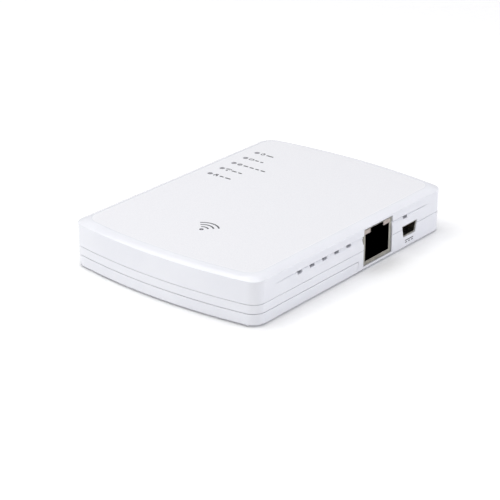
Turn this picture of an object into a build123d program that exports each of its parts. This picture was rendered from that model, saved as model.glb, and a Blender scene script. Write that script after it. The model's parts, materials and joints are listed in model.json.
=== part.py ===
from build123d import *
from math import sqrt
import os

# Pocket wireless router with a built-in battery. Millimetres, +Z up.
# The origin is the centre of the case's base. +X points out of the port side,
# and +Y runs along the length, away from the bowed end that the battery door closes.

# Case
CASE_WIDTH = 70.0
CASE_LENGTH = 98.2
CASE_HEIGHT = 15.0
END_BOW = 3.35
CORNER_RADIUS = 4.4
WALL = 1.6
FLOOR = 1.4
TOP_PLATE = 1.4
BASE_ROUND = 0.3
BASE_STEP = 0.6
PLINTH_INSET = 1.3
SEAM_Z = 6.8
SEAM_GAP = 0.1
LIP_TOP = 8.0
LIP_INSET = 1.7
LIP_INNER = 2.5
LIP_ROOT_Z = 5.2
ROOM = 40.0

# Sloping band round the top panel
BAND_DROP = 1.2
BAND_INSET = 3.1
PANEL_CORNER = 4.8
BAND_STEPS = ((0.0, 0.0), (0.3, 0.43), (0.62, 0.77), (1.0, 1.0))

# Side scoop and vent slots
SCOOP_LIP_Z = 11.3
SCOOP_DEPTH = 0.65
SCOOP_HEIGHT = 2.1
SCOOP_HALF_LENGTH = 39.0
CREASE_DEPTH = 0.3
CREASE_HEIGHT = 0.3
SLOT_LENGTH = 2.1
SLOT_HEIGHT = 1.1
SLOT_PITCH = 5.91
SLOT_FIRST_Y = -26.45
SLOT_COUNT = 5
LONE_SLOT_Y = 25.6

# Battery bay and door
DOOR_END_Y = 1.5
DOOR_TOP_Z = 3.95
DOOR_FLOOR = 1.2
RUN_GAP = 0.15
BAY_HALF_WIDTH = 31.0
BAY_WALL = 1.2
BAY_END_Y = -40.6
BAY_CEILING_Z = 7.6
BAY_TOP_Z = 8.8
PARTITION_Y = DOOR_END_Y + RUN_GAP
SHELF_THICK = 1.2
RAIL_Z = (1.5, 2.4)
RAIL_REACH = 1.0
TONGUE_Z = (2.6, 3.6)
TONGUE_REACH = 1.0
TONGUE_LENGTH = 7.0
TONGUE_YS = (-32.0, -18.0, -4.0)
GRIP_COUNT = 5
GRIP_PITCH = 2.0
GRIP_WIDTH = 0.9
GRIP_LENGTH = 16.0
GRIP_DEPTH = 0.4
GRIP_Y = -12.0

# Circuit board
BOARD_TOP_Z = 4.1
BOARD_THICK = 1.0
BOARD_INSET = 2.8
BOARD_START_Y = 3.0
NOTCH_X = 16.4
NOTCH_END_Y = 19.0

# Screws
SHANK_RADIUS = 0.95
PILOT_RADIUS = 0.97
PASS_RADIUS = 1.15
HEAD_RADIUS = 1.85
HEAD_HEIGHT = 1.3
HEAD_GAP = 0.05
CASE_SCREW_LENGTH = 7.5
BOARD_SCREW_LENGTH = 2.5
BOSS_RADIUS = 3.0
RECESS_RADIUS = 2.1
CROSS_LENGTH = 2.0
CROSS_WIDTH = 0.5
CROSS_DEPTH = 0.6
FRONT_SCREW_X = 28.0
FRONT_SCREW_Y = 40.3
FRONT_HEAD_Z = 1.6
REAR_SCREW_X = 25.0
REAR_SCREW_Y = -43.6
REAR_HEAD_Z = DOOR_TOP_Z + RUN_GAP + HEAD_HEIGHT + HEAD_GAP
REAR_BOSS_RADIUS = 2.1
BOARD_SCREW_SPOTS = ((-16.0, 6.6), (12.5, 23.0))
POST_RADIUS = 2.3

# Network jack
JACK_Y = (4.4, 18.7)
JACK_Z = (1.5, 12.9)
JACK_FRONT_X = 34.6
JACK_BACK_X = 16.8
JACK_SHEET = 0.2
JACK_CLEAR = 0.1
JACK_CUTOUT_TOP_Z = 13.3
JACK_BAY_X = 30.0
MOUTH_Y = (5.45, 17.5)
MOUTH_Z = (2.7, 11.3)
MOUTH_DEPTH = 13.0
LATCH_Y = (8.1, 14.4)
LATCH_TOP_Z = JACK_Z[1] - JACK_SHEET
LAMP_Y = ((4.7, 8.0), (14.5, 18.1))
LAMP_Z = (11.3, 12.65)
LAMP_DEPTH = 3.0
PIN_COUNT = 8
PIN_PITCH = 1.02
PIN_SIZE = 0.35
PIN_FRONT_X = 30.6
PIN_BACK_X = 22.6
PIN_HIGH_Z = 6.2
GROUND_TAB_X = (32.6, 34.4)
GROUND_TAB_Z = (8.8, 10.3)
GROUND_TAB_REACH = 0.5

# Power inlet
INLET_Y = 28.05
INLET_Z = (4.4, 7.4)
INLET_TOP_WIDTH = 7.1
INLET_LOW_WIDTH = 5.5
INLET_SHEET = 0.3
INLET_FRONT_X = 34.7
INLET_BACK_X = 25.6
INLET_FRAME_CLEAR = 0.12
TONGUE_THICK = 0.75
TONGUE_HALF_WIDTH = 2.0
TONGUE_MID_Z = 6.2
TONGUE_FRONT_X = 32.2
INLET_PIN_COUNT = 5
INLET_PIN_PITCH = 0.8
INLET_PIN_WIDTH = 0.3
INLET_PIN_THICK = 0.15
INLET_BACK_THICK = 2.2

# Indicator lights
LIGHT_X = -27.2
LIGHT_FIRST_Y = 7.5
LIGHT_PITCH = 5.875
LIGHT_COUNT = 5
PIPE_RADIUS = 0.82
PIPE_HOLE_RADIUS = 0.86
PIPE_BAR_Z = (11.8, 13.2)
PIPE_BAR_WIDTH = 2.0
LED_SIZE = (1.6, 0.8, 0.6)
LED_GAP = 0.25

# Battery
BATTERY_HALF_WIDTH = 29.5
BATTERY_Y = (-39.8, 0.1)
BATTERY_Z = (1.5, 7.3)
BATTERY_ROUND = 1.2
TERMINAL_SIZE = (3.0, 0.3, 2.4)
TERMINAL_PITCH = 5.0
TERMINAL_COUNT = 3
TERMINAL_Z = 5.6
CONTACT_BLOCK_X = 8.0
CONTACT_BLOCK_Y = (3.1, 6.6)
CONTACT_BLOCK_TOP_Z = 7.2
LEAF_WIDTH = 1.6
LEAF_THICK = 0.2

# Controls on the side away from the ports
SWITCH_Y = (25.0, 34.0)
SWITCH_X = (-31.6, -28.2)
SWITCH_TOP_Z = 9.2
KNOB_Y = 26.9
KNOB_WIDTH = 2.6
KNOB_TRAVEL = 3.0
KNOB_Z = (5.9, 7.7)
KNOB_X = (-34.7, -30.2)
KNOB_GAP = 0.2
KNOB_GROOVES = 3
KNOB_GROOVE_SIZE = 0.25
BUTTON_Y = 14.0
BUTTON_HALF_WIDTH = 1.8
BUTTON_HALF_HEIGHT = 1.4
BUTTON_X = (-34.8, -32.8)
BUTTON_FLANGE = 0.45
BUTTON_FLANGE_X = (-33.2, -32.7)
BUTTON_GAP = 0.15
PLUNGER_RADIUS = 0.9
PLUNGER_END_X = -31.2
TACT_X = (-31.5, -28.4)
TACT_HALF_WIDTH = 3.0
TACT_TOP_Z = 8.6

# Board components: (x, y) centre and (x, y, z) size
PROCESSOR = ((1.0, 30.0), (12.0, 12.0, 1.2))
MEMORY = ((-1.0, 17.0), (9.0, 12.5, 1.1))
FLASH = ((-14.0, 17.0), (5.2, 5.2, 1.7))
RADIO = ((-16.0, 31.0), (7.0, 7.0, 0.9))
RADIO_CAN = ((-16.0, 31.0), (14.0, 13.0, 2.2))
TRANSFORMER = ((9.6, 13.4), (8.6, 12.6, 2.3))
INDUCTOR = ((19.0, 39.5), (6.0, 6.0, 3.0))
CHARGER = ((11.0, 40.0), (4.0, 4.0, 0.9))
CRYSTAL = ((-3.0, 38.4), (11.0, 4.6, 3.4))
TANTALUMS = ((20.8, 23.4), (20.8, 31.4))
TANTALUM_SIZE = (4.3, 7.3, 2.8)
CHIP_CAP_SIZE = (1.6, 0.8, 0.8)
CHIP_CAP_SPOTS = ((10.0, 27.5), (10.0, 30.0), (10.0, 32.5), (10.0, 35.0))
CHIP_CAP_SPOTS += ((-7.6, 27.5), (-7.6, 30.0), (-7.6, 32.5), (-20.0, 12.5))
CHIP_CAP_SPOTS += ((-20.0, 15.0), (-20.0, 17.5), (-20.0, 20.0), (15.6, 35.5))
CAN_SHEET = 0.25
LEG_WIDTH = 0.4
LEG_REACH = 0.9
LEG_THICK = 0.2
ANTENNA_LENGTH = 17.0
ANTENNA_HEIGHT = 5.0
ANTENNA_SHEET = 0.3
ANTENNA_XS = (-15.0, 5.0)
ANTENNA_Y = 43.0
ANTENNA_FOOT = 1.8

BOARD_BOTTOM_Z = BOARD_TOP_Z - BOARD_THICK
WALL_TOP_Z = CASE_HEIGHT - BAND_DROP
HALF_WIDTH = CASE_WIDTH / 2
HALF_LENGTH = CASE_LENGTH / 2
END_RADIUS = (HALF_WIDTH**2 + END_BOW**2) / (2 * END_BOW)
EPS = 1.0


def outline(inset, z, corner=None):
    """Plan of the case moved in by inset, with its bowed ends, as a face at height z."""
    half = HALF_WIDTH - inset
    arc_centre_y = HALF_LENGTH - END_RADIUS
    side_y = arc_centre_y + sqrt((END_RADIUS - inset) ** 2 - half**2)
    crown_y = HALF_LENGTH - inset
    radius = corner if corner else CORNER_RADIUS - inset
    with BuildSketch(Plane.XY.offset(z)) as plan:
        with BuildLine():
            Line((half, -side_y), (half, side_y))
            ThreePointArc((half, side_y), (0, crown_y), (-half, side_y))
            Line((-half, side_y), (-half, -side_y))
            ThreePointArc((-half, -side_y), (0, -crown_y), (half, -side_y))
        make_face()
        fillet(plan.vertices(), radius)
    return plan.sketch


def band_ring(inward, upward):
    """The case's plan part way in and up the sloping band, as shares of its inset and drop."""
    corner = CORNER_RADIUS + (PANEL_CORNER - CORNER_RADIUS) * inward
    return outline(BAND_INSET * inward, WALL_TOP_Z + BAND_DROP * upward, corner)


def slab(inset, low_z, high_z):
    """The case's plan, moved in by inset, as a solid from low_z to high_z."""
    with BuildPart() as solid:
        extrude(outline(inset, low_z), amount=high_z - low_z)
    return solid.part


def block(xs, ys, zs):
    """A box between two corners."""
    size = (xs[1] - xs[0], ys[1] - ys[0], zs[1] - zs[0])
    centre = ((xs[0] + xs[1]) / 2, (ys[0] + ys[1]) / 2, (zs[0] + zs[1]) / 2)
    return Pos(*centre) * Box(*size, mode=Mode.PRIVATE)


def post(spot, radius, low_z, high_z):
    """A round column between two heights."""
    column = Cylinder(radius, high_z - low_z, mode=Mode.PRIVATE)
    return Pos(spot[0], spot[1], (low_z + high_z) / 2) * column


def around(centre, half):
    """The low and high ends of a span about a centre."""
    return (centre - half, centre + half)


def inlet_profile(grow, x):
    """The power inlet's trapezium, wide side up, as a face across X, grown all round."""
    low_z = INLET_Z[0] - grow
    high_z = INLET_Z[1] + grow
    low_half = INLET_LOW_WIDTH / 2 + grow
    high_half = INLET_TOP_WIDTH / 2 + grow
    with BuildSketch(Plane.YZ.offset(x)) as mouth:
        with BuildLine():
            Polyline(
                (INLET_Y - low_half, low_z),
                (INLET_Y + low_half, low_z),
                (INLET_Y + high_half, high_z),
                (INLET_Y - high_half, high_z),
                close=True,
            )
        make_face()
    return mouth.sketch


def inlet_tube(grow, low_x, high_x):
    """The power inlet's trapezium as a solid along X."""
    with BuildPart() as tube:
        extrude(inlet_profile(grow, low_x), amount=high_x - low_x)
    return tube.part


def scoop_plan(depth):
    """Plan of the scoop at its lip: one long shallow arc cut into the wall."""
    with BuildSketch(Plane.XY.offset(SCOOP_LIP_Z)) as plan:
        with BuildLine():
            ThreePointArc(
                (HALF_WIDTH, -SCOOP_HALF_LENGTH),
                (HALF_WIDTH - depth, 0),
                (HALF_WIDTH, SCOOP_HALF_LENGTH),
            )
            Polyline(
                (HALF_WIDTH, SCOOP_HALF_LENGTH),
                (HALF_WIDTH + EPS, SCOOP_HALF_LENGTH),
                (HALF_WIDTH + EPS, -SCOOP_HALF_LENGTH),
                (HALF_WIDTH, -SCOOP_HALF_LENGTH),
            )
        make_face()
    return plan.sketch


def scoop_cutter():
    """A shallow sloping scoop under a straight lip, with a narrow crease along the lip."""
    slope = sqrt(SCOOP_DEPTH**2 + SCOOP_HEIGHT**2)
    with BuildPart() as cutter:
        extrude(scoop_plan(SCOOP_DEPTH), amount=slope, dir=(SCOOP_DEPTH, 0, -SCOOP_HEIGHT))
        extrude(scoop_plan(SCOOP_DEPTH + CREASE_DEPTH), amount=CREASE_HEIGHT, dir=(0, 0, -1))
    return cutter.part


def side_cutters():
    """Everything cut through the port side: scoop, vent slots, jack and inlet mouths."""
    slot_ys = [SLOT_FIRST_Y + SLOT_PITCH * i for i in range(SLOT_COUNT)] + [LONE_SLOT_Y]
    slot_z = (SCOOP_LIP_Z - SLOT_HEIGHT, SCOOP_LIP_Z)
    slot_x = (HALF_WIDTH - WALL - EPS, HALF_WIDTH + EPS)
    cutters = [scoop_cutter()]
    cutters += [block(slot_x, around(y, SLOT_LENGTH / 2), slot_z) for y in slot_ys]
    return cutters


def port_cutters():
    """Cut-outs for the network jack, its grounding tab and the power inlet, in both shells."""
    jack_y = (JACK_Y[0] - JACK_CLEAR, JACK_Y[1] + JACK_CLEAR)
    jack_z = (JACK_Z[0] - JACK_CLEAR, JACK_CUTOUT_TOP_Z)
    jack = block((JACK_BAY_X, HALF_WIDTH + EPS), jack_y, jack_z)
    notch_y = (jack_y[0] - GROUND_TAB_REACH, JACK_Y[0])
    notch_z = (GROUND_TAB_Z[0] - JACK_CLEAR, GROUND_TAB_Z[1] + JACK_CLEAR)
    notch = block((GROUND_TAB_X[0] - JACK_CLEAR, HALF_WIDTH + EPS), notch_y, notch_z)
    inlet = inlet_tube(INLET_SHEET + INLET_FRAME_CLEAR, INLET_BACK_X, HALF_WIDTH + EPS)
    return [jack, notch, inlet]


def control_cutters():
    """The slide switch's slot and the button's hole, through the far side."""
    knob_y = (KNOB_Y - KNOB_GAP, KNOB_Y + KNOB_WIDTH + KNOB_TRAVEL + KNOB_GAP)
    knob_z = (KNOB_Z[0] - KNOB_GAP, KNOB_Z[1] + KNOB_GAP)
    slot = block((-HALF_WIDTH - EPS, -HALF_WIDTH + LIP_INNER + EPS), knob_y, knob_z)
    hole_y = around(BUTTON_Y, BUTTON_HALF_WIDTH + BUTTON_GAP)
    hole_z = around(SEAM_Z, BUTTON_HALF_HEIGHT + BUTTON_GAP)
    hole = block((-HALF_WIDTH - EPS, -HALF_WIDTH + LIP_INNER + EPS), hole_y, hole_z)
    wide = BUTTON_FLANGE + 2 * BUTTON_GAP
    room_y = around(BUTTON_Y, BUTTON_HALF_WIDTH + wide)
    room_z = around(SEAM_Z, BUTTON_HALF_HEIGHT + wide)
    room_x = (-HALF_WIDTH + WALL, -HALF_WIDTH + LIP_INNER + EPS)
    return [slot, hole, block(room_x, room_y, room_z)]


def mirrored(parts):
    """The same solids on the other side of the case."""
    return [part.mirror(Plane.YZ) for part in parts]


def save(piece, name):
    """Label a finished piece and write it as its own STEP file."""
    piece.part.label = name
    export_step(piece.part, f"parts/{name}.step")


os.makedirs("parts", exist_ok=True)
FRONT_SCREWS = ((FRONT_SCREW_X, FRONT_SCREW_Y), (-FRONT_SCREW_X, FRONT_SCREW_Y))
REAR_SCREWS = ((REAR_SCREW_X, REAR_SCREW_Y), (-REAR_SCREW_X, REAR_SCREW_Y))
LIGHT_YS = [LIGHT_FIRST_Y + LIGHT_PITCH * i for i in range(LIGHT_COUNT)]


# Upper cover: top panel, sloping band, walls and screw bosses
with BuildPart() as upper_cover:
    extrude(outline(0, SEAM_Z + SEAM_GAP / 2), amount=WALL_TOP_Z - SEAM_Z - SEAM_GAP / 2)
    for low, high in zip(BAND_STEPS, BAND_STEPS[1:]):
        loft([band_ring(*low), band_ring(*high)], ruled=True)
    room_top = CASE_HEIGHT - TOP_PLATE
    add(slab(WALL, SEAM_Z - EPS, WALL_TOP_Z - BAND_DROP), mode=Mode.SUBTRACT)
    add(slab(BAND_INSET + SEAM_GAP, SEAM_Z, room_top), mode=Mode.SUBTRACT)
    for spot in FRONT_SCREWS:
        add(post(spot, BOSS_RADIUS, BOARD_TOP_Z, room_top))
        pilot_top = FRONT_HEAD_Z + CASE_SCREW_LENGTH + EPS
        add(post(spot, PILOT_RADIUS, BOARD_TOP_Z, pilot_top), mode=Mode.SUBTRACT)
    for spot in REAR_SCREWS:
        add(post(spot, REAR_BOSS_RADIUS, BAY_TOP_Z + SEAM_GAP / 2, WALL_TOP_Z - BAND_DROP))
        pilot_top = REAR_HEAD_Z + CASE_SCREW_LENGTH + SEAM_GAP
        add(post(spot, PILOT_RADIUS, BAY_TOP_Z, pilot_top), mode=Mode.SUBTRACT)
    for y in LIGHT_YS:
        add(post((LIGHT_X, y), PIPE_HOLE_RADIUS, room_top - EPS, CASE_HEIGHT + EPS), mode=Mode.SUBTRACT)
    add(side_cutters() + mirrored(side_cutters()), mode=Mode.SUBTRACT)
    add(port_cutters() + control_cutters(), mode=Mode.SUBTRACT)
save(upper_cover, "upper_cover")


def base_block():
    """The whole lower half of the case as one solid, its rounded walls on a low set-back plinth."""
    with BuildPart() as base:
        extrude(outline(0, BASE_STEP), amount=SEAM_Z - SEAM_GAP / 2 - BASE_STEP)
        fillet(base.edges().group_by(Axis.Z)[0], BASE_ROUND)
        extrude(outline(PLINTH_INSET, 0), amount=BASE_STEP)
    return base.part


# Lower case: floor of the electronics half, partition, battery bay and seam lip
with BuildPart() as lower_case:
    add(base_block())
    wide_x = (-ROOM, ROOM)
    below_shelf = DOOR_TOP_Z + RUN_GAP
    add(block(wide_x, (-HALF_LENGTH - EPS, PARTITION_Y), (-EPS, below_shelf)), mode=Mode.SUBTRACT)
    shelf_top = below_shelf + SHELF_THICK
    front_room = slab(WALL, FLOOR, SEAM_Z) & block(
        wide_x, (PARTITION_Y + BAY_WALL, HALF_LENGTH), (FLOOR, SEAM_Z)
    )
    rear_room = slab(WALL, shelf_top, SEAM_Z) & block(
        wide_x, (-HALF_LENGTH, PARTITION_Y), (shelf_top, SEAM_Z)
    )
    add([front_room, rear_room], mode=Mode.SUBTRACT)
    lip = slab(LIP_INSET, LIP_ROOT_Z, LIP_TOP) - slab(LIP_INNER, LIP_ROOT_Z - EPS, LIP_TOP + EPS)
    lip_root = slab(WALL / 2, LIP_ROOT_Z, SEAM_Z - SEAM_GAP / 2)
    add(lip + (lip_root - slab(LIP_INNER, LIP_ROOT_Z - EPS, SEAM_Z)))
    outer_x = BAY_HALF_WIDTH + BAY_WALL
    bay_y = (BAY_END_Y - BAY_WALL, PARTITION_Y + BAY_WALL)
    add(block((-outer_x, outer_x), bay_y, (below_shelf, BAY_TOP_Z)))
    add(block((-outer_x, outer_x), (PARTITION_Y, PARTITION_Y + BAY_WALL), (FLOOR, BAY_TOP_Z)))
    for side in (1, -1):
        wall_x = sorted((side * BAY_HALF_WIDTH, side * outer_x))
        rail_x = sorted((side * BAY_HALF_WIDTH, side * (outer_x + RAIL_REACH)))
        add(block(wall_x, (BAY_END_Y, PARTITION_Y), (RAIL_Z[0], below_shelf)))
        add(block(rail_x, (BAY_END_Y, PARTITION_Y), RAIL_Z))
    bay_x = (-BAY_HALF_WIDTH, BAY_HALF_WIDTH)
    add(block(bay_x, (BAY_END_Y, PARTITION_Y), (0, BAY_CEILING_Z)), mode=Mode.SUBTRACT)
    contact_x = (-CONTACT_BLOCK_X, CONTACT_BLOCK_X)
    contact_z = (BOARD_TOP_Z, CONTACT_BLOCK_TOP_Z)
    add(block(contact_x, (PARTITION_Y - EPS, BOARD_START_Y), contact_z), mode=Mode.SUBTRACT)
    for spot in FRONT_SCREWS:
        add(post(spot, BOSS_RADIUS, FLOOR, BOARD_BOTTOM_Z))
        add(post(spot, RECESS_RADIUS, -EPS, FRONT_HEAD_Z), mode=Mode.SUBTRACT)
        add(post(spot, PASS_RADIUS, 0, BOARD_TOP_Z), mode=Mode.SUBTRACT)
    for spot in REAR_SCREWS:
        add(post(spot, BOSS_RADIUS, below_shelf, SEAM_Z - SEAM_GAP))
        add(post(spot, REAR_BOSS_RADIUS, below_shelf, BAY_TOP_Z))
        add(post(spot, RECESS_RADIUS, below_shelf - EPS, REAR_HEAD_Z), mode=Mode.SUBTRACT)
        add(post(spot, PASS_RADIUS, below_shelf, BAY_TOP_Z + EPS), mode=Mode.SUBTRACT)
    for spot in BOARD_SCREW_SPOTS:
        add(post(spot, POST_RADIUS, FLOOR, BOARD_BOTTOM_Z))
        add(post(spot, PILOT_RADIUS, FLOOR, BOARD_TOP_Z), mode=Mode.SUBTRACT)
    add(port_cutters() + control_cutters(), mode=Mode.SUBTRACT)
save(lower_case, "lower_case")


# Battery door: a tray that closes the bay and slides out along -Y
with BuildPart() as battery_door:
    door_y = (-HALF_LENGTH - EPS, DOOR_END_Y)
    add(base_block())
    add(slab(WALL, DOOR_FLOOR, SEAM_Z), mode=Mode.SUBTRACT)
    add(block((-ROOM, ROOM), (DOOR_END_Y, HALF_LENGTH + EPS), (-EPS, SEAM_Z)), mode=Mode.SUBTRACT)
    add(block((-ROOM, ROOM), (-ROOM - ROOM, DOOR_END_Y), (DOOR_TOP_Z, SEAM_Z)), mode=Mode.SUBTRACT)
    for side in (1, -1):
        inner_x = HALF_WIDTH - WALL
        tongue_x = sorted((side * (inner_x + WALL / 2), side * (inner_x - TONGUE_REACH)))
        for y in TONGUE_YS:
            add(block(tongue_x, around(y, TONGUE_LENGTH / 2), TONGUE_Z))
    for i in range(GRIP_COUNT):
        y = GRIP_Y + GRIP_PITCH * i
        grip_x = around(0, GRIP_LENGTH / 2)
        add(block(grip_x, around(y, GRIP_WIDTH / 2), (-EPS, GRIP_DEPTH)), mode=Mode.SUBTRACT)
save(battery_door, "battery_door")


# Battery pack with its three contact pads
with BuildPart() as battery_pack:
    add(block(around(0, BATTERY_HALF_WIDTH), BATTERY_Y, BATTERY_Z))
    fillet(battery_pack.edges().filter_by(Axis.Y), BATTERY_ROUND)
save(battery_pack, "battery_pack")

TERMINAL_XS = [TERMINAL_PITCH * (i - (TERMINAL_COUNT - 1) / 2) for i in range(TERMINAL_COUNT)]
with BuildPart() as battery_terminals:
    for x in TERMINAL_XS:
        pad_y = (BATTERY_Y[1], BATTERY_Y[1] + TERMINAL_SIZE[1])
        pad_z = around(TERMINAL_Z, TERMINAL_SIZE[2] / 2)
        add(block(around(x, TERMINAL_SIZE[0] / 2), pad_y, pad_z))
save(battery_terminals, "battery_terminals")

with BuildPart() as battery_contact_block:
    block_x = around(0, CONTACT_BLOCK_X - RUN_GAP)
    add(block(block_x, CONTACT_BLOCK_Y, (BOARD_TOP_Z, CONTACT_BLOCK_TOP_Z - RUN_GAP)))
    for x in TERMINAL_XS:
        slot_x = around(x, LEAF_WIDTH / 2 + RUN_GAP)
        slot_y = (CONTACT_BLOCK_Y[0] - EPS, CONTACT_BLOCK_Y[0] + EPS)
        slot_z = around(TERMINAL_Z, TERMINAL_SIZE[2] / 2)
        add(block(slot_x, slot_y, slot_z), mode=Mode.SUBTRACT)
save(battery_contact_block, "battery_contact_block")

with BuildPart() as battery_contact_springs:
    tip_y = BATTERY_Y[1] + TERMINAL_SIZE[1] + SEAM_GAP / 2
    root_y = CONTACT_BLOCK_Y[0] + EPS
    for x in TERMINAL_XS:
        with BuildSketch(Plane.YZ.offset(x - LEAF_WIDTH / 2)):
            with BuildLine() as leaf_line:
                leaf_low_z = TERMINAL_Z - TERMINAL_SIZE[2] / 4
                leaf_high_z = TERMINAL_Z + TERMINAL_SIZE[2] / 4
                Polyline(
                    (root_y, leaf_low_z),
                    (tip_y + LEAF_THICK * 2, leaf_low_z),
                    (tip_y, TERMINAL_Z),
                    (tip_y + LEAF_THICK * 2, leaf_high_z),
                    (tip_y + LEAF_THICK * 3, leaf_high_z),
                    (tip_y + LEAF_THICK, TERMINAL_Z),
                    (tip_y + LEAF_THICK * 3, leaf_low_z + LEAF_THICK),
                    (root_y, leaf_low_z + LEAF_THICK),
                    close=True,
                )
            make_face()
        extrude(amount=LEAF_WIDTH)
save(battery_contact_springs, "battery_contact_springs")


# Main circuit board, with its notch for the sunk network jack
with BuildPart() as main_board:
    board_y = (BOARD_START_Y, HALF_LENGTH)
    board_z = (BOARD_BOTTOM_Z, BOARD_TOP_Z)
    add(slab(BOARD_INSET, *board_z) & block((-ROOM, ROOM), board_y, board_z))
    notch_z = (BOARD_BOTTOM_Z - EPS, BOARD_TOP_Z + EPS)
    add(block((NOTCH_X, ROOM), (BOARD_START_Y - EPS, NOTCH_END_Y), notch_z), mode=Mode.SUBTRACT)
    for spot in FRONT_SCREWS + BOARD_SCREW_SPOTS:
        add(post(spot, PASS_RADIUS, *notch_z), mode=Mode.SUBTRACT)
save(main_board, "main_board")


def screw(spot, head_low_z, head_up, length):
    """A cross-head screw: head_up is 1 when its head is on top, -1 when it is underneath."""
    head_z = (head_low_z, head_low_z + HEAD_HEIGHT)
    with BuildPart() as fastener:
        add(post(spot, HEAD_RADIUS, *head_z))
        if head_up > 0:
            add(post(spot, SHANK_RADIUS, head_z[0] - length, head_z[0]))
            cross_z = (head_z[1] - CROSS_DEPTH, head_z[1] + EPS)
        else:
            add(post(spot, SHANK_RADIUS, head_z[1], head_z[1] + length))
            cross_z = (head_z[0] - EPS, head_z[0] + CROSS_DEPTH)
        long_x = around(spot[0], CROSS_LENGTH / 2)
        long_y = around(spot[1], CROSS_LENGTH / 2)
        thin_x = around(spot[0], CROSS_WIDTH / 2)
        thin_y = around(spot[1], CROSS_WIDTH / 2)
        add(block(long_x, thin_y, cross_z), mode=Mode.SUBTRACT)
        add(block(thin_x, long_y, cross_z), mode=Mode.SUBTRACT)
    return fastener.part


with BuildPart() as case_screws:
    for spot in FRONT_SCREWS:
        add(screw(spot, FRONT_HEAD_Z - HEAD_HEIGHT, -1, CASE_SCREW_LENGTH))
    for spot in REAR_SCREWS:
        add(screw(spot, REAR_HEAD_Z - HEAD_HEIGHT, -1, CASE_SCREW_LENGTH))
save(case_screws, "case_screws")

with BuildPart() as board_screws:
    for spot in BOARD_SCREW_SPOTS:
        add(screw(spot, BOARD_TOP_Z, 1, BOARD_SCREW_LENGTH))
save(board_screws, "board_screws")


# Network jack: sheet-metal shield, plastic housing, eight contact wires, two lamp windows
jack_depth_x = (JACK_BACK_X, JACK_FRONT_X)
inner_y = (JACK_Y[0] + JACK_SHEET, JACK_Y[1] - JACK_SHEET)
inner_z = (JACK_Z[0] + JACK_SHEET, JACK_Z[1] - JACK_SHEET)
inner_x = (JACK_BACK_X + JACK_SHEET, JACK_FRONT_X - JACK_SHEET)
face_x = (JACK_FRONT_X - JACK_SHEET - EPS, JACK_FRONT_X + EPS)

with BuildPart() as ethernet_jack_shield:
    add(block(jack_depth_x, JACK_Y, JACK_Z))
    add(block(inner_x, inner_y, inner_z), mode=Mode.SUBTRACT)
    add(block(face_x, MOUTH_Y, MOUTH_Z), mode=Mode.SUBTRACT)
    add(block(face_x, LATCH_Y, (MOUTH_Z[0], LATCH_TOP_Z)), mode=Mode.SUBTRACT)
    for span in LAMP_Y:
        add(block(face_x, span, LAMP_Z), mode=Mode.SUBTRACT)
    tab_y = (JACK_Y[0] - GROUND_TAB_REACH, JACK_Y[0])
    add(block(GROUND_TAB_X, tab_y, GROUND_TAB_Z))
save(ethernet_jack_shield, "ethernet_jack_shield")

cavity_x = (JACK_FRONT_X - MOUTH_DEPTH, JACK_FRONT_X)
lamp_x = (JACK_FRONT_X - JACK_SHEET - LAMP_DEPTH, JACK_FRONT_X - JACK_SHEET / 3)

with BuildPart() as ethernet_jack_housing:
    add(block(inner_x, inner_y, inner_z))
    add(block(cavity_x, MOUTH_Y, MOUTH_Z), mode=Mode.SUBTRACT)
    add(block(cavity_x, LATCH_Y, (MOUTH_Z[0], LATCH_TOP_Z + EPS)), mode=Mode.SUBTRACT)
    for span in LAMP_Y:
        lamp_room_z = (LAMP_Z[0], LAMP_Z[1] + EPS)
        add(block((lamp_x[0], JACK_FRONT_X), span, lamp_room_z), mode=Mode.SUBTRACT)
    for i in range(PIN_COUNT):
        pin_y = (MOUTH_Y[0] + MOUTH_Y[1]) / 2 + PIN_PITCH * (i - (PIN_COUNT - 1) / 2)
        groove_y = around(pin_y, PIN_SIZE)
        groove_x = (PIN_BACK_X - PIN_SIZE, PIN_FRONT_X + EPS)
        add(block(groove_x, groove_y, (MOUTH_Z[0] - PIN_SIZE, MOUTH_Z[0])), mode=Mode.SUBTRACT)
save(ethernet_jack_housing, "ethernet_jack_housing")

with BuildPart() as ethernet_jack_contacts:
    for i in range(PIN_COUNT):
        pin_y = (MOUTH_Y[0] + MOUTH_Y[1]) / 2 + PIN_PITCH * (i - (PIN_COUNT - 1) / 2)
        with BuildSketch(Plane.XZ.offset(-pin_y - PIN_SIZE / 2)):
            with BuildLine():
                groove_z = MOUTH_Z[0] - PIN_SIZE / 2
                Polyline(
                    (PIN_FRONT_X - EPS, groove_z),
                    (PIN_FRONT_X, groove_z),
                    (PIN_FRONT_X, groove_z + PIN_SIZE),
                    (PIN_BACK_X, PIN_HIGH_Z),
                    (PIN_BACK_X, PIN_HIGH_Z - PIN_SIZE),
                    close=True,
                )
            make_face()
        extrude(amount=PIN_SIZE)
save(ethernet_jack_contacts, "ethernet_jack_contacts")

with BuildPart() as jack_lamp_windows:
    for span in LAMP_Y:
        add(block(lamp_x, span, LAMP_Z))
save(jack_lamp_windows, "jack_lamp_windows")


# Power inlet: formed metal shell, plastic back and tongue, five contacts
with BuildPart() as dc_inlet_shell:
    add(inlet_tube(INLET_SHEET, INLET_BACK_X, INLET_FRONT_X))
    add(inlet_tube(0, INLET_BACK_X - EPS, INLET_FRONT_X + EPS), mode=Mode.SUBTRACT)
save(dc_inlet_shell, "dc_inlet_shell")

tongue_y = around(INLET_Y, TONGUE_HALF_WIDTH + LEG_WIDTH)
tongue_z = around(TONGUE_MID_Z, TONGUE_THICK / 2)
with BuildPart() as dc_inlet_insulator:
    add(inlet_tube(0, INLET_BACK_X, INLET_BACK_X + INLET_BACK_THICK))
    add(block((INLET_BACK_X, TONGUE_FRONT_X), tongue_y, tongue_z))
save(dc_inlet_insulator, "dc_inlet_insulator")

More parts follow.
